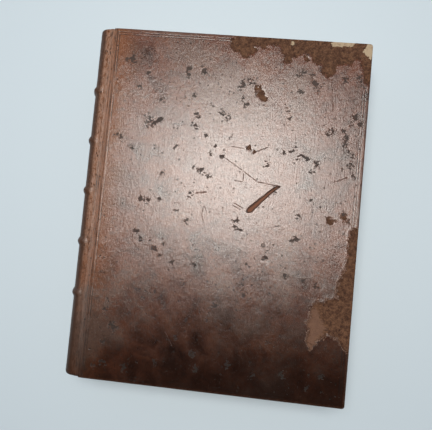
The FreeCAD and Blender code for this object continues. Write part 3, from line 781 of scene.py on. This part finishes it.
def coverSkin(name, upper, step, material):
    # the leather of a cover: its face as a grid, then loops round the edges and over the turn-ins
    startX = coverLow.x
    inset = coverForm["edgeRound"]
    width, reach = foreX - inset - startX, halfHeight - inset
    across, along = round(width / step), round(2 * reach / step)
    columns, rows = np.linspace(startX, foreX - inset, across + 1), np.linspace(-reach, reach, along + 1)
    x, y = [grid.ravel() for grid in np.meshgrid(columns, rows)]

    # round the two corners at the fore-edge
    corner = coverForm["cornerRound"]
    cx, cy = foreX - inset - corner, reach - corner
    a, b = np.maximum(x - cx, 0), np.maximum(np.abs(y) - cy, 0)
    both = (a > 0) & (b > 0)
    shrink = np.where(both, np.maximum(a, b) / np.maximum(np.hypot(a, b), tiny), 1)
    x = np.where(both, cx + a * shrink, x)
    y = np.where(both, np.sign(y) * (cy + b * shrink), y)

    # the face's depth, with slow waves and the lacings' low humps
    flat = np.column_stack([x, y, np.zeros_like(x)])
    seed = 3 if upper else 11
    waves = roughness(flat, coverForm["waveSize"], seed, 2)
    waves = waves + coverForm["smallWave"] * roughness(flat, coverForm["smallWaveSize"], seed, 2)
    depth = jointDepth(x, y) + coverForm["wave"] * waves
    onLacing = smoothStep(hingeX + coverForm["lacingReach"] - x, 0, coverForm["lacingFade"])
    onLacing = onLacing * smoothStep(x - hingeX, coverForm["lacingStart"], coverForm["lacingFull"])
    for place in bandPlaces:
        hump = np.exp(-((y - place) / coverForm["lacingHalfWidth"]) ** 2)
        depth = depth - coverForm["lacingLift"] * hump * onLacing
    fields = {"edgeGap": np.minimum(foreX - x, halfHeight - np.abs(y)) / mm}
    if upper:
        fields.update(wearGaps(flat))
        depth = wornDepth(depth, fields, coverPlace(flat)[1])
    depth = np.clip(depth, 0.0, coverForm["deepest"])

    rowLength = across + 1
    bottom = list(range(0, rowLength - 1))
    right = [row * rowLength + across for row in range(0, along)]
    top = [along * rowLength + column for column in range(across, 0, -1)]
    left = [row * rowLength for row in range(along, 0, -1)]
    border = np.array(bottom + right + top + left)
    bx, by, bd = x[border], y[border], depth[border]
    xs, ys, depths = [x], [y], [depth]
    loopFields = {key: [values] for key, values in fields.items()}
    count = len(border)
    profile = edgeProfile()
    inner = coverHigh.z - coverLow.z
    for number, (out, down) in enumerate(profile):
        back = min(max((inset - out) / coverForm["turnIn"], 0), 1)
        jointX = startX + back * (boardLow.x - startX)
        lx = jointX + (bx - startX) * (foreX - inset + out - jointX) / width
        ly = by * (reach + out) / reach
        fade = max(0.0, 1 - number / coverForm["fadeLoops"])
        ripple = 0.0
        if down == inner:
            loop = np.column_stack([lx, ly, lx * 0])
            ripple = np.minimum(coverForm["ripple"] * roughness(loop, coverForm["rippleSize"], 21, 2), 0.0)
        xs.append(lx)
        ys.append(ly)
        depths.append(down + bd * fade + ripple)
        past = (down + max(0.0, out)) / mm * coverForm["edgeSlack"]
        for key, values in loopFields.items():
            rubbed = np.full(count, coverForm["edgeRub"])
            values.append(rubbed if key == "edgeGap" else fields[key][border] + past)
    x, y, depth = np.concatenate(xs), np.concatenate(ys), np.concatenate(depths)

    faces = gridFaces(along + 1, rowLength)
    previous = list(border)
    first = rowLength * (along + 1)
    for number in range(len(profile)):
        current = list(range(first + number * count, first + (number + 1) * count))
        for i in range(count):
            j = (i + 1) % count
            faces.append((previous[i], current[i], current[j], previous[j]))
        previous = current
    faces.append(tuple(reversed(previous)))  # lies on the board, facing it
    if not upper:
        faces = [tuple(reversed(face)) for face in faces]
    z = topZ - depth if upper else depth
    piece = newPiece(name, np.column_stack([x, y, z]), faces, material)
    for key, values in loopFields.items():
        storeField(piece, key, np.concatenate(values))
    return piece


upperSkin = coverSkin("upper_cover_skin", True, 1.0 * mm, calfMarked)
lowerSkin = coverSkin("lower_cover_skin", False, 2.0 * mm, calfPlain)
for piece, side in ((upperSkin, "upper"), (lowerSkin, "lower")):
    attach(piece, f"{side}_cover")
    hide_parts(f"{side}_cover_leather")
print("covers made")


def spineSkin():
    # the spine's leather, carried over the back of the pages from joint to joint
    end, thickness, lip = spineHigh.y, spineForm["thickness"], spineForm["lip"]
    innerY = end - thickness
    capRound = spineForm["capRound"]
    straight = end - capRound
    ys = np.linspace(-straight, straight, round(2 * straight / spineForm["step"]) + 1)
    outer = [(y, 0.0) for y in ys]
    turns = np.radians(spineForm["capTurns"])
    headEnd = [(straight + capRound * math.sin(t), capRound * (math.cos(t) - 1)) for t in turns]
    headEnd += [(end - back * mm, up * mm - lip) for back, up in spineForm["lipRim"]]
    headEnd.append((innerY, -thickness))
    tailEnd = [(-y, fall) for y, fall in reversed(headEnd)]
    inner = [(y, -thickness) for y in np.linspace(innerY, -innerY, spineForm["innerRows"] + 2)[1:-1]]
    profile = outer + headEnd + inner + tailEnd
    profileY = np.array([p[0] for p in profile])
    fall = np.array([p[1] for p in profile])
    onOutside = (np.abs(profileY) <= straight + tiny) & (fall > -tiny)
    reach = sum(wayLengths(0))
    columns = round(2 * reach / spineForm["step"])
    vertices = []
    for s in np.linspace(-reach, reach, columns + 1):
        x, z, outX, outZ, angle = overBack(np.full(len(profile), s))
        lift = np.where(fall > -tiny, bandLift(profileY, angle) + ridgeLift(x, profileY), 0)
        x, z = x + outX * (fall + lift), z + outZ * (fall + lift)
        vertices.append(np.column_stack([x, profileY, midZ + z, outX, outZ, onOutside]))
    vertices = np.concatenate(vertices)
    place, outward = vertices[:, :3].copy(), vertices[:, 3:5]
    wave = np.minimum(roughness(place, spineForm["waveSize"], 8, 2), 0) * spineForm["wave"] * vertices[:, 5]
    wave = wave * smoothStep(spineJointX - place[:, 0], spineForm["waveStart"], spineForm["waveFull"])
    place[:, 0] += outward[:, 0] * wave
    place[:, 2] += outward[:, 1] * wave
    count = len(profile)
    faces = []
    for turn in range(columns):
        a, b = turn * count, (turn + 1) * count
        faces += [(a + i, b + i, b + (i + 1) % count, a + (i + 1) % count) for i in range(count)]
    faces.append(tuple(range(count)))
    faces.append(tuple(range((columns + 1) * count - 1, columns * count - 1, -1)))
    piece = newPiece("spine_skin", place, faces, calfPlain)
    ends = (halfHeight - np.abs(place[:, 1])) / mm
    overBand = np.min([np.abs(place[:, 1] - band) for band in bandPlaces], axis=0) / mm
    storeField(piece, "edgeGap", np.minimum(ends, spineForm["bandRub"] + overBand * spineForm["rubFade"]))
    return piece


spinePiece = spineSkin()
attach(spinePiece, "book_block")
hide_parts("spine_leather")


jointFold = {
    "spineReach": 3.6 * mm,
    "coverReach": 3.4 * mm,
    "proud": 0.05 * mm,
    "sunk": 0.07 * mm,
    "thickness": 0.42 * mm,
    "turn": 0.8 * mm,  # the narrow width past the hinge that gets close-set columns
    "endInset": 0.25 * mm,
    "endRound": 1.0 * mm,
    "endFall": 0.9 * mm,
    "crestShare": 0.3,
    "sideShare": 0.16,
    "spineColumns": 8,
    "turnColumns": 7,
    "coverColumns": 7,
    "rows": 400,
}


def leatherFold(name, upper):
    # the leather that bends between the spine and a cover
    left, right = hingeX - jointFold["spineReach"], hingeX + jointFold["coverReach"]
    turnEnd = hingeX + jointFold["turn"]
    columns = np.concatenate([np.linspace(left, hingeX, jointFold["spineColumns"] + 1)[:-1],
                              np.linspace(hingeX, turnEnd, jointFold["turnColumns"] + 1)[:-1],
                              np.linspace(turnEnd, right, jointFold["coverColumns"] + 1)])
    reach = spineHigh.y - jointFold["endInset"]
    x, y = [grid.ravel() for grid in np.meshgrid(columns, np.linspace(-reach, reach, jointFold["rows"]))]

    # smooth the crest where the spine's curve meets the valley, sink the sides and round the ends
    share = (x - left) / (right - left)
    toSide = np.minimum(share, 1 - share)
    lift = jointFold["proud"] * smoothStep(toSide, 0.0, jointFold["crestShare"])
    lift = lift - jointFold["sunk"] * (1 - smoothStep(toSide, 0.0, jointFold["sideShare"]))
    pastRound = np.clip((np.abs(y) - reach) / jointFold["endRound"] + 1, 0, 1)
    outer = jointDepth(x, y) - lift + jointFold["endFall"] * (1 - np.sqrt(1 - pastRound ** 2))
    count, wide, rows = len(x), len(columns), jointFold["rows"]
    depths = np.concatenate([outer, outer + jointFold["thickness"]])
    faces = gridFaces(rows, wide) + [(a, d, c, b) for a, b, c, d in gridFaces(rows, wide, count)]
    for a in range(0, (rows - 1) * wide, wide):
        b = a + wide - 1
        faces.append((a, a + wide, count + a + wide, count + a))
        faces.append((b, count + b, count + b + wide, b + wide))
    last = (rows - 1) * wide
    for c in range(wide - 1):
        faces.append((c, count + c, count + c + 1, c + 1))
        faces.append((last + c, last + c + 1, count + last + c + 1, count + last + c))
    if not upper:
        faces = [tuple(reversed(face)) for face in faces]
    z = topZ - depths if upper else depths
    piece = newPiece(name, np.column_stack([np.tile(x, 2), np.tile(y, 2), z]), faces, calfPlain)
    storeField(piece, "edgeGap", np.tile((halfHeight - np.abs(y)) / mm, 2))
    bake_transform(piece)
    return piece


leatherFold("upper_joint_leather", True)
leatherFold("lower_joint_leather", False)

paperFold = {
    "leg": 0.08 * mm,
    "thickness": 0.05 * mm,
    "turn": 0.04 * mm,
    "crest": 1.04 * mm,
    "crestRound": 0.1 * mm,
    "crestTurns": (20, 45, 70, 90, 110, 135, 160),
    "belowCrest": 0.3 * mm,
    # the fold's other points, in mm: past the hinge line, and under the sheet's inner face
    "upFlyleaf": [(-0.08, 0.05), (-0.08, -1.4), (-0.08, -2.8)],
    "ontoPastedown": [(0.08, -2.4), (0.08, -0.25), (0.2, -0.02), (0.58, 0.025), (2.5, 0.025), (3.0, -0.01)],
    "endInset": 0.5 * mm,
    "rows": 40,
}


def outwardNormals(piece):
    work = bmesh.new()
    work.from_mesh(piece.data)
    bmesh.ops.recalc_face_normals(work, faces=work.faces)
    work.to_mesh(piece.data)
    work.free()


def endpaperFold(name, upper):
    # the endpaper's fold in the joint, from the flyleaf up the shoulder and over to the pastedown
    leg, crest, below = paperFold["leg"], paperFold["crest"], paperFold["crest"] + paperFold["belowCrest"]
    flyDepth, pasteDepth = topZ - flyleafHigh.z, topZ - pastedownLow.z
    path = [(out * mm, flyDepth + down * mm) for out, down in paperFold["upFlyleaf"]] + [(-leg, below)]
    for t in np.radians(paperFold["crestTurns"]):
        path.append((-leg * math.cos(t), crest + paperFold["crestRound"] * (1 - math.sin(t))))
    path += [(leg, below)] + [(out * mm, pasteDepth + down * mm) for out, down in paperFold["ontoPastedown"]]
    line = np.array(path)
    run = np.gradient(line, axis=0)
    run /= np.linalg.norm(run, axis=1)[:, None]
    other = line + np.column_stack([-run[:, 1], run[:, 0]]) * paperFold["thickness"]
    reach = flyleafHigh.y - paperFold["endInset"]
    vertices = []
    for y in np.linspace(-reach, reach, paperFold["rows"]):
        for points in (line, other):
            vertices += [(hingeX + px, y, topZ - pz if upper else pz) for px, pz in points]
    count = len(line)
    size = 2 * count
    ring = list(range(count)) + list(range(size - 1, count - 1, -1))
    faces = []
    for row in range(paperFold["rows"] - 1):
        a, b = row * size, (row + 1) * size
        for i, j in zip(ring, ring[1:] + ring[:1]):
            faces.append((a + i, a + j, b + j, b + i))
    faces.append(tuple(reversed(ring)))
    faces.append(tuple((paperFold["rows"] - 1) * size + i for i in ring))
    piece = newPiece(name, vertices, faces, endpaper)
    outwardNormals(piece)
    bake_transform(piece)
    return piece


endpaperFold("upper_endpaper_fold", True)
endpaperFold("lower_endpaper_fold", False)
print("spine and joints made")


def startTree(name, numbers, integers, material):
    # a geometry tree with those inputs
    tree = bpy.data.node_groups.new(name, "GeometryNodeTree")
    tree.interface.new_socket("Geometry", in_out="OUTPUT", socket_type="NodeSocketGeometry")
    kinds = (("NodeSocketFloat", numbers), ("NodeSocketInt", integers), ("NodeSocketMaterial", (material,)))
    for kind, labels in kinds:
        for label in labels:
            tree.interface.new_socket(label, in_out="INPUT", socket_type=kind)
    return tree, tree.nodes.new("NodeGroupInput").outputs


def geometry(tree, kind, values, **settings):
    return addNode(tree, "GeometryNode" + kind, values, **settings).outputs[0]


def finishTree(tree, shape, material):
    clothed = geometry(tree, "SetMaterial", {"Geometry": shape, "Material": material})
    tree.links.new(clothed, tree.nodes.new("NodeGroupOutput").inputs[0])


def grow(name, tree, values):
    # runs a tree on an empty mesh and keeps its result as a plain mesh
    piece = bpy.data.objects.new(name, bpy.data.meshes.new(name + "Seed"))
    bpy.context.scene.collection.objects.link(piece)
    modifier = piece.modifiers.new("grow", "NODES")
    modifier.node_group = tree
    names = {item.name: item.identifier for item in tree.interface.items_tree if item.in_out == "INPUT"}
    for label, value in values.items():
        modifier[names[label]] = value
    bpy.context.view_layer.update()
    evaluated = piece.evaluated_get(bpy.context.evaluated_depsgraph_get())
    result = bpy.data.meshes.new_from_object(evaluated)
    piece.modifiers.remove(modifier)
    piece.data = result
    result.name = name
    return piece


leafStack = {"Leaves": 132, "Jitter": 0.28 * mm, "Fill": 0.86, "Seed": 4, "Hollow": 9.0 * mm}
leafPoints = {"Vertices X": 15, "Vertices Y": 3}
liningThickness = 0.4 * mm


def backPoint(given, level):
    # the place of a leaf's fold on the back: along its arc, round the shoulder, then level
    backRadius, turnRadius = given["Back radius"], given["Turn radius"]
    run = times(unsigned(level), given["Back reach"])
    backRun = times(given["Back angle"], backRadius)
    onBack = calc("DIVIDE", smaller(run, backRun), backRadius)
    onTurn = calc("DIVIDE", larger(minus(run, backRun), 0.0), turnRadius)
    turned = smaller(onTurn, minus(math.pi / 2, given["Back angle"]))
    angle = plus(onBack, turned)
    turnedX = minus(calc("COSINE", onBack), calc("COSINE", angle))
    turnedZ = minus(calc("SINE", angle), calc("SINE", onBack))
    x = minus(given["Axis x"], times(backRadius, calc("COSINE", onBack)))
    x = plus(plus(x, times(minus(onTurn, turned), turnRadius)), times(turnedX, turnRadius))
    z = plus(times(backRadius, calc("SINE", onBack)), times(turnedZ, turnRadius))
    return x, times(z, calc("SIGN", level))


def leafTree():
    # a stack of leaves that fan out round the back and end in a hollow fore-edge
    numbers = ("Jitter", "Fill", "Half thickness", "Half height", "Joint x", "Fore x", "Hollow",
               "Back radius", "Axis x", "Middle z", "Back angle", "Back reach", "Turn radius")
    tree, given = startTree("pageStack", numbers, ("Leaves", "Seed"), "Paper")
    line = geometry(tree, "MeshLine", {"Count": given["Leaves"], "Offset": (0, 0, 1)})
    leaf = geometry(tree, "MeshCube", {"Size": (1, 1, 1), **leafPoints})
    stack = geometry(tree, "InstanceOnPoints", {"Points": line, "Instance": leaf})
    real = geometry(tree, "RealizeInstances", {0: stack})
    x, y, z = split(geometry(tree, "InputPosition", {}))
    leafNumber = calc("FLOOR", plus(z, 0.5))
    within = minus(z, leafNumber)  # -0.5 to 0.5 through one leaf
    middle = calc("DIVIDE", plus(leafNumber, 0.5), given["Leaves"])
    level = minus(times(middle, 2.0), 1.0)  # -1 lowest, 1 highest
    level = plus(level, times(times(within, given["Fill"]), calc("DIVIDE", 2.0, given["Leaves"])))
    flatZ = times(level, given["Half thickness"])
    backX, backZ = backPoint(given, level)

    def chance(step):
        values = {"ID": leafNumber, "Seed": plus(given["Seed"], step)}
        return addNode(tree, "FunctionNodeRandomValue", values).outputs[1]

    # the fore-edge is a hollow arc
    square = times(given["Half thickness"], given["Half thickness"])
    hollowSquare = times(given["Hollow"], given["Hollow"])
    arc = calc("DIVIDE", plus(square, hollowSquare), times(given["Hollow"], 2.0))
    inside = minus(times(arc, arc), times(flatZ, flatZ))
    foreEdge = minus(minus(plus(given["Fore x"], arc), calc("SQRT", inside)), given["Hollow"])
    foreEdge = minus(foreEdge, times(chance(1), given["Jitter"]))

    along = plus(x, 0.5)
    fan = times(along, 2.0, clamp=True)  # first half of a leaf: from the back to the joint
    level = minus(times(along, 2.0), 1.0, clamp=True)  # second half: from the joint to the fore-edge
    newX = mixNumbers(level, mixNumbers(fan, backX, given["Joint x"]), foreEdge)
    newY = times(times(y, 2.0), minus(given["Half height"], times(chance(2), given["Jitter"])))
    newZ = plus(mixNumbers(ease(fan, 0.0, 1.0), backZ, flatZ), given["Middle z"])
    moved = geometry(tree, "SetPosition", {"Geometry": real, "Position": joined(newX, newY, newZ)})
    finishTree(tree, moved, given["Paper"])
    return tree


pagesDepth = liningLow.x + liningThickness - (spineLow.x + spineForm["bandRise"])
pages = grow("page_leaves", leafTree(), {
    **leafStack, "Half thickness": flyleafLow.z - midZ, "Half height": pagesHigh.y, "Joint x": spineJointX,
    "Fore x": pagesHigh.x, "Back radius": spineRadius - pagesDepth, "Axis x": spineAxisX,
    "Middle z": midZ, "Back angle": backAngle, "Back reach": sum(wayLengths(pagesDepth)),
    "Turn radius": spineForm["shoulderRound"] - pagesDepth, "Paper": leafEdges,
})
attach(pages, "book_block")
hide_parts("text_block")


silkWinding = {"Turns": 64, "Strand": 0.26 * mm}
silkPoints = {"ring": 14, "strand": 5}
silkLean = 0.12
turnsPerColour = 3.0
silkEnd = 0.5  # share of its radius that the winding stops short of the core's end


def silkTree():
    # turns of silk side by side round an endband's core
    numbers = ("Strand", "Ring", "Bend radius", "Axis x", "Middle z", "Place y", "Half angle")
    tree, given = startTree("silkTurns", numbers, ("Turns",), "Silk")
    line = geometry(tree, "MeshLine", {"Count": given["Turns"], "Offset": (0, 0, 1)})
    index = geometry(tree, "InputIndex", {})
    step = calc("DIVIDE", index, minus(given["Turns"], 1.0))
    angle = times(minus(times(step, 2.0), 1.0), given["Half angle"])
    x = minus(given["Axis x"], times(given["Bend radius"], calc("COSINE", angle)))
    z = plus(given["Middle z"], times(given["Bend radius"], calc("SINE", angle)))
    points = geometry(tree, "SetPosition", {"Geometry": line, "Position": joined(x, given["Place y"], z)})
    circle = "CurvePrimitiveCircle"
    big = geometry(tree, circle, {"Resolution": silkPoints["ring"], "Radius": given["Ring"]})
    small = geometry(tree, circle, {"Resolution": silkPoints["strand"], "Radius": given["Strand"]})
    ring = geometry(tree, "CurveToMesh", {"Curve": big, "Profile Curve": small})
    turned = addNode(tree, "FunctionNodeEulerToRotation", {0: joined(silkLean, angle, 0.0)}).outputs[0]
    wound = geometry(tree, "InstanceOnPoints", {"Points": points, "Instance": ring, "Rotation": turned})
    marked = addNode(tree, "GeometryNodeStoreNamedAttribute", {"Geometry": wound, "Name": "silkTurn"},
                     domain="INSTANCE", data_type="FLOAT")
    put(marked.inputs["Value"], calc("MODULO", calc("FLOOR", calc("DIVIDE", index, turnsPerColour)), 2.0))
    finishTree(tree, geometry(tree, "RealizeInstances", {0: marked.outputs[0]}), given["Silk"])
    return tree


windings = silkTree()
for end in ("head", "tail"):
    low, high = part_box(f"{end}_endband_silk")
    ringRadius = (high.y - low.y) / 2
    bendRadius = spineAxisX - low.x - ringRadius
    halfAngle = math.asin(((high.z - low.z) / 2 - ringRadius * silkEnd) / bendRadius)
    wound = grow(f"{end}_endband_windings", windings, {
        **silkWinding, "Ring": ringRadius - silkWinding["Strand"], "Bend radius": bendRadius,
        "Axis x": spineAxisX, "Middle z": midZ, "Place y": (low.y + high.y) / 2, "Half angle": halfAngle,
        "Silk": silk,
    })
    for polygon in wound.data.polygons:
        polygon.use_smooth = True
    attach(wound, "book_block")
    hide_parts(f"{end}_endband_silk")
print("pages and endbands made")


# looks of the CAD pieces that stay
looks = {"board": pasteboard, "lacing": hemp, "cord": hemp, "core": hemp, "thread": linen,
         "lining": endpaper, "pastedown": endpaper, "flyleaf": endpaper}
for name, piece in frame["nodes"].items():
    for word, material in looks.items():
        if word in name:
            piece.data.materials.clear()
            piece.data.materials.append(material)


# floor, light and camera
studio = {
    "floor": (0.55, 0.66, 0.735),
    "floorRough": 0.8,
    "floorHalf": 4.0,
    "backdrop": (0.62, 0.70, 0.75),
    "daylight": (0.84, 0.90, 1.0),
    "worldLight": 0.27,
    "tailLight": 0.12,  # share of it that comes from the tail's side
    "tailEnd": -0.45,
    "headEnd": 0.35,
}
lamps = {
    "overhead": {"place": (-0.025, 0.175, topZ + 1.05), "target": (0.0, 0.05, topZ), "size": (0.55, 0.48),
                 "power": 13.2, "colour": (1.0, 0.93, 0.865)},
    "leftFill": {"place": (-0.9, 0.3, 0.7), "target": (0, 0, 0.03), "size": (0.6, 0.6),
                 "power": 0.3, "colour": (0.92, 0.96, 1.0)},
}

floorMaterial = bpy.data.materials.new("floorMaterial")
floorMaterial.use_nodes = True
floorShader = floorMaterial.node_tree.nodes["Principled BSDF"]
put(floorShader.inputs["Base Color"], (*studio["floor"], 1))
put(floorShader.inputs["Roughness"], studio["floorRough"])
wide = studio["floorHalf"]
floorCorners = [(-wide, -wide, 0), (wide, -wide, 0), (wide, wide, 0), (-wide, wide, 0)]
newPiece("floor", floorCorners, [(0, 1, 2, 3)], floorMaterial, False)

world = bpy.data.worlds.new("studio")
bpy.context.scene.world = world
world.use_nodes = True
air = world.node_tree
background = air.nodes["Background"]
seen = air.nodes.new("ShaderNodeLightPath").outputs["Is Camera Ray"]
put(background.inputs["Color"], mixColours(seen, studio["daylight"], studio["backdrop"]))
toHead = split(addNode(air, "ShaderNodeTexCoord").outputs["Generated"])[1]
tailLight = studio["worldLight"] * studio["tailLight"]
roomLight = ease(toHead, studio["tailEnd"], studio["headEnd"], tailLight, studio["worldLight"])
put(background.inputs["Strength"], mixNumbers(seen, roomLight, 1.0))


def softbox(name, place, target, size, power, colour):
    lamp = bpy.data.lights.new(name, "AREA")
    lamp.shape, lamp.size, lamp.size_y = "RECTANGLE", size[0], size[1]
    lamp.energy, lamp.color = power, colour
    holder = bpy.data.objects.new(name, lamp)
    bpy.context.scene.collection.objects.link(holder)
    holder.location = place
    holder.rotation_euler = (Vector(target) - Vector(place)).to_track_quat("-Z", "Y").to_euler()


for name, settings in lamps.items():
    softbox(name, **settings)

photoView = {
    "place": (hingeX + 0.1271, -0.0198, topZ + 0.3573),
    "right": (0.9935, 0.0942, -0.0639),
    "up": (-0.0910, 0.9946, 0.0504),
    "lens": 35.83,
    "nearest": 0.01,
}
camera = bpy.data.objects.new("camera", bpy.data.cameras.new("camera"))
bpy.context.scene.collection.objects.link(camera)
rightWay = Vector(photoView["right"]).normalized()
backWay = rightWay.cross(Vector(photoView["up"])).normalized()
turned = Matrix((rightWay, backWay.cross(rightWay), backWay)).transposed().to_4x4()
camera.matrix_world = Matrix.Translation(photoView["place"]) @ turned
camera.data.lens, camera.data.clip_start = photoView["lens"], photoView["nearest"]
bpy.context.scene.camera = camera
bpy.context.scene.view_settings.view_transform = "Standard"
print("studio set")
